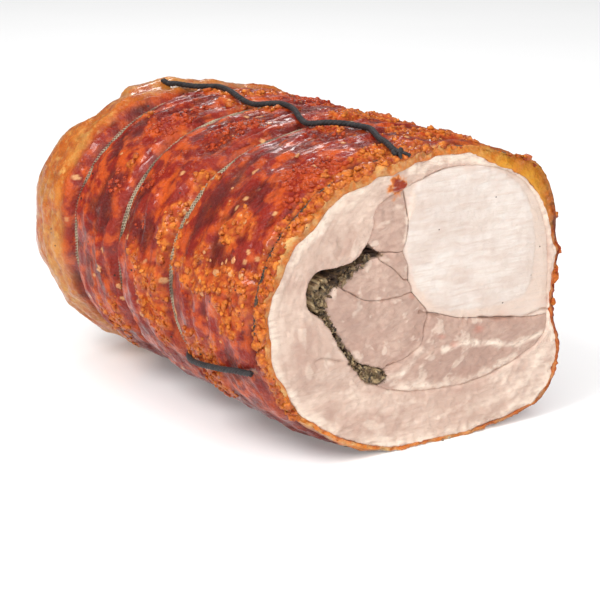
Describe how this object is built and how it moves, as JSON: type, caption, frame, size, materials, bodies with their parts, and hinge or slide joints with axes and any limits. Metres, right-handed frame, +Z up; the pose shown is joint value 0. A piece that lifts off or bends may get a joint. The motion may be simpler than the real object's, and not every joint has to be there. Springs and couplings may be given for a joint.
{
  "type": "rolled pork roast",
  "caption": "Porchetta: pork loin and belly rolled in crackling rind with a herb filling, tied with string loops, one end cut to show the roll.",
  "frame": {"origin": "on the surface it rests on, under the middle of the roll", "axes": "+Z up, the roll lies along Y with its cut face towards -Y"},
  "size_m": [0.1914, 0.2468, 0.1566],
  "materials": {
    "crackling": "glossy roasted rind, red-brown with golden blisters",
    "belly_meat": "cooked pork belly, pale pinkish beige",
    "loin_meat": "cooked pork loin, near white with fine grain",
    "core_meat": "cooked pork, greyish pink",
    "herbs": "dark olive-brown herb filling",
    "tie_string": "scorched knitted kitchen string",
    "dark_cord": "dark twisted cotton cord"
  },
  "bodies": {
    "root": {"belly_wrap": "crackling", "belly_flap": "belly_meat", "loin": "loin_meat", "core_upper": "core_meat", "core_lower": "core_meat", "side_muscle_upper": "belly_meat", "side_muscle_lower": "belly_meat", "herb_filling": "herbs", "tie_1": "tie_string", "tie_2": "tie_string", "tie_3": "tie_string", "tie_4": "tie_string", "top_cord": "dark_cord", "side_cord": "dark_cord"}
  },
  "joints": []
}
